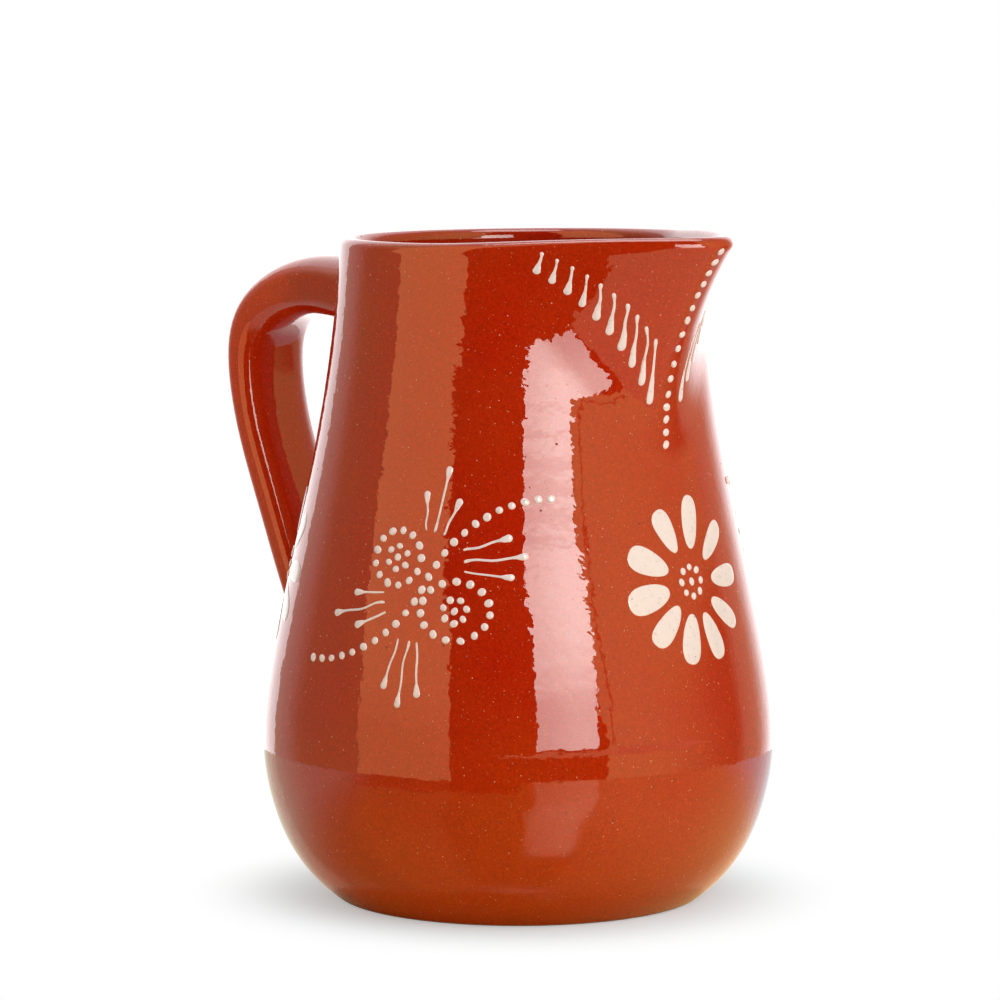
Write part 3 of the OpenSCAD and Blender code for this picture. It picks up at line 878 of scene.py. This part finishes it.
class JUG_OT_dot_crest(bpy.types.Operator):
    """Dots one line of beads down the crest of the lip"""

    bl_idname = "jug.dot_crest"
    bl_label = "Dot the crest"
    # How low the first bead sits, as a share of the lip's depth, and where the bunching ends
    first_drop = 0.062
    bunch_end = 0.73

    def execute(self, context):
        t = Trailer(context, "crest_beads")
        slip, sizes = t.slip, t.wall.size
        high = sizes.rim_height - sizes.lip_depth * self.first_drop
        low = slip.daisy_height + slip.petal_tip + slip.crest_gap
        steps = int((high - low) / slip.crest_pitch + 0.001)
        for i in range(steps + 1):
            s = i / steps
            bunched = s - slip.crest_bunch * math.sin(math.pi * min(1, s / self.bunch_end))
            t.bead(0, mix(high, low, bunched), slip.bead_width)
        t.done("crest_beads_line")
        return {"FINISHED"}


class JUG_OT_dash_lip(bpy.types.Operator):
    """Trails a row of dashes on each flank of the lip"""

    bl_idname = "jug.dash_lip"
    bl_label = "Dash the lip"
    # The first and last dash of a row: degrees from the lip, drop as a share of the lip's depth and
    # how much that drop bows between them. A dash bows to its side by the share lean
    tails = ((38, 7.2), (0.047, 0.415), 0.12)
    heads = ((40, 6.2), (0.137, 0.694), 0.2)
    lean = 0.02

    def bowed(self, ends, t, bow):
        """The value at share t of a bowed way between two ends."""
        return mix(ends[0], ends[1], t) - bow * t * (1 - t)

    def end(self, sizes, side, s, turns, drops, sag):
        """Where a dash starts or ends on the wall, at share s of its row."""
        turn = self.bowed([math.radians(degrees) for degrees in turns], s, math.radians(8))
        return side * turn, sizes.rim_height - sizes.lip_depth * self.bowed(drops, s, sag)

    def row(self, context, side, node):
        """Trails one row."""
        t = Trailer(context, node + "_slip")
        for i in range(t.slip.dashes):
            s = i / (t.slip.dashes - 1)
            tail = self.end(t.wall.size, side, s, *self.tails)
            head = self.end(t.wall.size, side, s, *self.heads)
            t.stroke(tail, head, t.slip.dash_width, side * self.lean, DASH_SHARES)
        t.done(node)

    def execute(self, context):
        self.row(context, -1, "lip_dashes_right")
        self.row(context, 1, "lip_dashes_left")
        return {"FINISHED"}


class JUG_OT_paint_daisies(bpy.types.Operator):
    """Sets down three daisies: petals round a ring of seeds"""

    bl_idname = "jug.paint_daisies"
    bl_label = "Paint the daisies"

    def execute(self, context):
        slip = context.scene.jug_slip
        far = 2 * slip.motif_step
        for name, turn in (("front", slip.daisy_front), ("right", -far), ("left", far)):
            centre = (turn, slip.daisy_height)
            t = Trailer(context, f"daisy_{name}_petals_slip")
            for k in range(slip.petals):
                evenly = k * math.tau / slip.petals
                way = slip.first_petal - evenly - slip.petal_crowd * math.sin(evenly) + t.sway(0.03)
                full = 1 + slip.petal_fat * math.cos(way - slip.full_side)
                root = slip.petal_root + t.sway(0.0004)
                tip = slip.petal_tip + t.sway(0.0008)
                t.petal(centre, way, root, tip, slip.petal_width * full * (1 + t.sway(0.06)))
            t.done(f"daisy_{name}_petals")
            t = Trailer(context, f"daisy_{name}_seeds_slip")
            t.motif_bead(centre, 0, 0, slip.seed_width)
            for k in range(slip.seeds):
                way = k * math.tau / slip.seeds
                u, v = slip.seed_ring * math.cos(way), slip.seed_ring * math.sin(way)
                t.motif_bead(centre, u, v, slip.seed_width)
            t.done(f"daisy_{name}_seeds")
        return {"FINISHED"}


class JUG_OT_trail_scrolls(bpy.types.Operator):
    """Trails a scroll on each side: a beaded S, two rings with small rings inside, and four fans"""

    bl_idname = "jug.trail_scrolls"
    bl_label = "Trail the scrolls"
    # Beads on each arm of the S
    arm_beads = 12
    # Each ring: its middle as shares of the scroll's halves, its first angle, how many beads the
    # large ring and the small one in it have, and how wide the small one's and the middle's are
    round_ring = ((-0.26, 0.28), 84, (13, 6), (0.86, 0.9))
    oval_ring = ((0.25, -0.31), 114, (15, 7), (0.9, 1))
    # Each fan: the root of its middle stroke in the same shares, its direction, its spread and how
    # long its outer strokes are beside the middle one
    fans = (
        ((0.045, 0.59), 79, 15, 0.61),
        ((0.3, 0.27), 5, 11, 0.79),
        ((-0.1, -0.67), -95, 9, 0.81),
        ((-0.33, -0.25), -166, 10, 0.61),
    )

    def line(self, context, side, centre, node):
        """Trails the S as two arcs of beads that meet in the middle."""
        t = Trailer(context, node + "_slip")
        slip = t.slip
        half, drop = slip.scroll_half, slip.scroll_drop
        bend = (half * half + drop * drop) / (2 * drop)
        sweep = math.asin(half / bend)
        for way in (-1, 1):
            for i in range(self.arm_beads):
                turn = sweep * i / (self.arm_beads - 0.5)
                u = half - bend * math.sin(turn)
                v = drop - bend * (1 - math.cos(turn))
                t.motif_bead(centre, -side * way * u, way * v, slip.bead_width)
        t.done(node)

    def rings(self, context, side, centre, node):
        """Trails a round and an oval ring, each with a small ring and a bead inside."""
        t = Trailer(context, node + "_slip")
        slip = t.slip
        small = slip.ring * slip.small
        for ring, wide, tall in (
            (self.round_ring, slip.ring, slip.ring),
            (self.oval_ring, slip.oval, slip.oval * slip.oval_flat),
        ):
            (out, up), phase, (many, few), (fine, middle) = ring
            for rx, ry, count, size in (
                (wide, tall, many, 1), (small, small, few, fine), (0, 0, 1, middle),
            ):
                for k in range(count):
                    way = math.radians(phase) - k * math.tau / count
                    u = slip.scroll_half * out + rx * math.cos(way)
                    v = slip.scroll_drop * up + ry * math.sin(way)
                    t.motif_bead(centre, -side * u, v, slip.bead_width * size)
        t.done(node)

    def strokes(self, context, side, centre, node):
        """Trails the four fans of three strokes."""
        t = Trailer(context, node + "_slip")
        slip = t.slip
        gap = slip.fan_width * slip.fan_gap
        for (out, up), turn, spread, short in self.fans:
            base = math.radians(turn)
            for k in (-1, 0, 1):
                way = base + k * math.radians(spread)
                long = slip.fan_length * (1 if k == 0 else short * (1 + t.sway(0.06)))
                u = slip.scroll_half * out - k * gap * math.sin(base)
                v = slip.scroll_drop * up + k * gap * math.cos(base)
                tail = t.wall.spot(centre, -side * u, v)
                out_end, up_end = u + long * math.cos(way), v + long * math.sin(way)
                head = t.wall.spot(centre, -side * out_end, up_end)
                t.stroke(tail, head, slip.fan_width, 0.0, FAN_SHARES, slip.fan_length)
        t.done(node)

    def execute(self, context):
        slip = context.scene.jug_slip
        for side, name in ((-1, "right"), (1, "left")):
            centre = (side * slip.motif_step, slip.scroll_height)
            self.line(context, side, centre, f"scroll_{name}_line")
            self.rings(context, side, centre, f"scroll_{name}_rings")
            self.strokes(context, side, centre, f"scroll_{name}_strokes")
        return {"FINISHED"}


class StudioSet:
    """What stands round the jug: the camera, the light, the floor and what the glaze mirrors."""

    def __init__(self, studio):
        self.studio = studio

    def around(self, degrees, distance, z):
        """A place at an angle to the right of the camera, as the jug sees it."""
        a = self.studio.view + math.radians(degrees)
        return Vector((distance * math.cos(a), distance * math.sin(a), z))

    def hide(self, made, *rays):
        """Hides an object from some kinds of ray."""
        for ray in rays:
            setattr(made, "visible_" + ray, False)

    def key(self):
        """A soft lamp to the right of the camera, for what is matt."""
        degrees = 40
        light = bpy.data.lights.new("key", "AREA")
        light.size = 0.7
        light.energy = self.studio.key * math.pi * light.size**2
        lamp = put("key", light)
        lamp.location = self.around(degrees, distance=0.62, z=0.35)
        turn = self.studio.view + math.radians(degrees) + math.pi / 2
        lamp.rotation_euler = (math.pi / 2, 0, turn)
        self.hide(lamp, "camera", "glossy", "transmission")

    def height(self, f):
        """How high a point of a sheet is."""
        return f.axes(f.place(), "Z")

    def across(self, f):
        """How far to the right on a sheet, from 0 to 1."""
        return f.axes(f.node("ShaderNodeTexCoord", {}, {}, "UV"), "X")

    def sheet(self, name, rows, distance, tint, level, veil=None, flat=False):
        """A sheet that bends round the jug and is seen only in the glaze.

        Each row holds a height and the sheet's left and right edges there, in degrees round from
        the camera. A flat sheet lies at the height given as its distance, and its rows hold
        distances. Where the veil is 0 the sheet is clear.
        """
        bm = bmesh.new()
        bm.loops.layers.uv.new("UVMap")
        last = len(rows) - 1
        bmesh.ops.create_grid(bm, x_segments=24, y_segments=last, size=0.5, calc_uvs=True)
        for v in bm.verts:
            row, left, right = rows[round((v.co.y + 0.5) * last)]
            out, z = (row, distance) if flat else (distance, row)
            v.co = self.around(mix(left, right, v.co.x + 0.5), out, z)

        def paint(f):
            glow = f.glow(f.scaled(tint, level(f)))
            if veil:
                clear = f.node("ShaderNodeBsdfTransparent", {}, {}, 0)
                glow = f.either(veil(f), clear, glow)
            f.show(glow)

        sheet = shaped(name, bm, material(name, paint))
        self.hide(sheet, "camera", "diffuse", "transmission", "shadow")

    def sheets(self):
        """The strip light, the pale panels, the black card and the light overhead."""
        white, warm, red = (1, 1, 1), (1, 0.8, 0.33), (1, 0.52, 0.22)
        rosy, pink = (0.55, 0.85, 0.45), (1, 0.95, 0.8)
        high = 1.6

        def band(left, right, start=-0.3, end=high):
            """Rows of a sheet with straight edges."""
            return (start, left, right), (end, left, right)

        def even(level):
            return lambda f: level

        def fading(left, right):
            """A level for each side, brighter higher up."""

            def level(f):
                up = 1 + 1.3 * self.height(f).step(0.35, 0.8)
                return (left + (right - left) * self.across(f)) * up

            return level

        def strip(f):
            """The strip light is dimmer at its foot, at its top and to the left."""
            z = self.height(f)
            up = (0.6 + 0.4 * z.step(0.14, 0.26)) * (1 - 0.2 * z.step(0.272, 0.292))
            return self.studio.strip * up * (0.8 + 0.3 * self.across(f).step(0, 0.8))

        def side(f):
            """The side panel is brighter above its foot."""
            return 2.5 + 0.8 * self.height(f).step(0.05, 0.2)

        def right(f):
            """The right panel is dimmer away from its left edge, most of all low down."""
            dip = self.across(f).step(0.1, 0.65) * (1 - 0.45 * self.height(f).step(0.13, 0.2))
            return 1.9 - 1.6 * dip

        def soft(f):
            """Clears the left edge."""
            return self.across(f).step(0, 0.25)

        def fade(f):
            """Clears the right edge."""
            return 1 - self.across(f).step(0.6, 1)

        def above(f):
            """Clears the front of the sheet, so that only its back is seen."""
            return f.node("ShaderNodeNewGeometry", {}, {}, "Backfacing")

        strip_rows = (
            (0.06, 7.3, 33.5), (0.18, 7.5, 34.4), (0.24, 6.8, 34), (0.258, 5.5, 32),
            (0.27, 2.6, 29.5), (0.284, 2.5, 28.6), (0.296, 3.6, 28.6), (0.6, 3.6, 28.6),
        )
        frame_rows = (0.06, 40, 41), (0.18, 39, 40), (0.27, 33.5, 34.5), (0.6, 32.5, 33.5)
        side_rows = (
            (-0.3, -72, -27.5), (0.06, -72, -28.5), (0.16, -73, -29.5), (0.235, -78, -31.2),
            (0.252, -81, -33), (0.27, -84, -38.5), (0.284, -86, -35), (high, -87, -35),
        )
        right_rows = (-0.2, 38, 152), (0.09, 38, 152), (0.285, 29, 152), (high, 29, 152)
        low_rows = (
            (0.136, 37, 72), (0.151, 17, 72), (0.195, -3, 72), (0.217, -7, 72), (0.254, -9.5, 72),
            (0.262, -6, 72), (0.272, -2, 72), (0.33, 0.5, 72), (0.5, 2, 68), (0.52, 3, 60),
            (0.53, 3, 19), (0.6, 5, 16),
        )
        self.sheet("strip_light", strip_rows, 0.61, (0.94, 0.94, 0.88), strip)
        self.sheet("strip_frame", frame_rows, 0.6, warm, even(0.5))
        self.sheet("side_panel", side_rows, 0.62, red, side)
        self.sheet("left_panel", band(-124, -50), 0.63, rosy, fading(0.5, 0.8))
        self.sheet("far_left_panel", band(-150, -106), 0.62, pink, fading(0.75, 0.75), fade)
        self.sheet("right_panel", right_rows, 0.62, warm, right)
        self.sheet("rear_light", band(127, 224.5), 0.6, white, even(2), soft)
        self.sheet("far_right_panel", band(108, 152, -0.2), 0.61, (1, 0.8, 0.5), even(0.85), soft)
        self.sheet("low_panel", low_rows, 0.05, (1, 0.72, 0.4), even(1.5), above, flat=True)
        self.sheet("black_card", band(-40, 60, -4, 3.5), 1.33, white, even(0.01))
        self.sheet("top_light", band(-180, 180, 0.02, 0.45), 1.7, white, even(7), flat=True)

    def paper(self, f):
        """White paper to the camera, with a painted shadow near the jug. The glaze mirrors a warm
        table before it, with painted light on it.
        """
        seen, mirrored = f.rays("Camera", "Glossy")
        x, y = f.axes(f.place(), "X", "Y")
        ahead, aside = math.cos(self.studio.view), math.sin(self.studio.view)
        out = (x * x + y * y) ** 0.5
        back = (x * ahead + y * aside) * -1
        right = y * ahead - x * aside

        # What the glaze mirrors: a warm table in front, with a dark corner at the left, and white
        # paper behind. The table's light from the right and the bright paper behind are painted
        # light: glows that only the glaze sees
        fibre = 0.97 + 0.06 * f.noise(f.place(), 500)
        gap = 1 - out.over(0.205) * (back * -1).over(0.09) * (1 - right.over(0))
        far = (back + (right * -0.65).larger(0)).step(-0.02, 0.12)
        table = f.blend(far, f.scaled((0.42, 0.4, 0.08), fibre * gap), (0.2, 0.32, 0.32, 1))
        coat = {"Color": (0.19, 0.11, 0.09, 1), "Roughness": 0.15}
        coat = f.node("ShaderNodeBsdfGlossy", {}, coat, 0)
        # Painted light: a glowing patch on the table's right, and the tinted glow of the paper
        # behind
        lit = f.scaled((0.75, 0.5, 0.25), right.step(0, 0.1) * gap)
        behind = f.blend(right.step(-0.05, 0.05), (0.48, 0.57, 0.44, 1), (0.5, 0.7, 0.78, 1))
        glow = f.glow(f.scaled(f.blend(far, lit, behind), mirrored))
        own = f.both(f.both(f.matt(table), coat), glow)

        # What the camera sees: white paper with the jug's shadow. Near the jug the paper is painted
        # darker and bluer, a painted shadow that deepens the real one and hides the red light the
        # jug throws on it. Further out it is plain white glow
        away = out.step(0.06, 0.12)
        sheet = f.blend(away, (0.62, 0.84, 0.87, 1), (0.85, 0.9, 0.92, 1))
        pale = f.both(f.matt(sheet), f.glow(f.scaled((1, 1, 1), 0.36 + 0.06 * away)))
        pale = f.either(out.step(0.062, 0.105), pale, f.glow((1, 1, 1, 1)))
        f.show(f.either(seen, own, pale))

    def floor(self):
        """A round pale floor that keeps the jug's shadow."""
        bm = bmesh.new()
        bmesh.ops.create_circle(bm, cap_ends=True, segments=96, radius=self.studio.floor_radius)
        floor = shaped("pale_floor", bm, material("pale floor", self.paper))

    def world(self):
        """A world that is white where it is seen or mirrored, and a plain light on what is matt."""
        world = bpy.data.worlds.new("white studio")
        bpy.context.scene.world = world
        f = Finish(world)
        camera, glossy, clear = f.rays("Camera", "Glossy", "Transmission")
        plain = {"Color": (1, 0.98, 0.95, 1), "Strength": self.studio.plain}
        white = {"Color": (1, 1, 1, 1), "Strength": 1.0}
        plain, white = (f.node("ShaderNodeBackground", {}, sky, 0) for sky in (plain, white))
        f.show(f.either(camera.larger(glossy).larger(clear), plain, white), "ShaderNodeOutputWorld")

    def camera(self):
        """The camera, at the photograph's viewing angle."""
        studio = self.studio
        lens = bpy.data.cameras.new("camera")
        lens.lens = studio.lens
        lens.sensor_width = 36
        lens.shift_x = studio.shift
        lens.clip_start = 0.01
        camera = put("camera", lens)
        camera.location = self.around(0, studio.distance, studio.height)
        camera.rotation_euler = (math.pi / 2 - studio.pitch, 0, studio.view + math.pi / 2)
        bpy.context.scene.camera = camera


class JUG_OT_set_stage(bpy.types.Operator):
    """Sets up the pale floor, the plain light and the camera"""

    bl_idname = "jug.set_stage"
    bl_label = "Set the stage"

    def execute(self, context):
        stage = StudioSet(context.scene.jug_studio)
        stage.camera()
        stage.world()
        stage.floor()
        stage.sheets()
        stage.key()
        context.scene.view_settings.view_transform = "Standard"
        return {"FINISHED"}


class JUG_PT_panel(bpy.types.Panel):
    """Lists the steps that make the jug, its sizes and its colours"""

    bl_idname = "JUG_PT_panel"
    bl_label = "Clay jug"
    bl_space_type = "VIEW_3D"
    bl_region_type = "UI"
    bl_category = "Clay jug"

    def draw(self, context):
        for step in STEPS:
            self.layout.operator(step.bl_idname)
        for group in GROUPS:
            box = self.layout.box()
            settings = getattr(context.scene, group)
            for key in settings.__annotations__:
                box.prop(settings, key)


STEPS = (
    JUG_OT_throw_body,
    JUG_OT_pull_handle,
    JUG_OT_dot_crest,
    JUG_OT_dash_lip,
    JUG_OT_paint_daisies,
    JUG_OT_trail_scrolls,
    JUG_OT_set_stage,
)
GROUPS = {
    "jug_sizes": JugSizes,
    "jug_handle": HandleSizes,
    "jug_slip": SlipSizes,
    "jug_finishes": Finishes,
    "jug_studio": Studio,
}


def register():
    for group in GROUPS.values():
        bpy.utils.register_class(group)
    for key, group in GROUPS.items():
        setattr(bpy.types.Scene, key, PointerProperty(type=group))
    for step in STEPS:
        bpy.utils.register_class(step)
    bpy.utils.register_class(JUG_PT_panel)


def unregister():
    bpy.utils.unregister_class(JUG_PT_panel)
    for step in reversed(STEPS):
        bpy.utils.unregister_class(step)
    for key in GROUPS:
        delattr(bpy.types.Scene, key)
    for group in reversed(GROUPS.values()):
        bpy.utils.unregister_class(group)


def main():
    """Makes every piece and the stage, in order."""
    register()
    bpy.ops.jug.throw_body()
    bpy.ops.jug.pull_handle()
    bpy.ops.jug.dot_crest()
    bpy.ops.jug.dash_lip()
    bpy.ops.jug.paint_daisies()
    bpy.ops.jug.trail_scrolls()
    bpy.ops.jug.set_stage()
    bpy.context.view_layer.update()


if __name__ == "__main__":
    main()
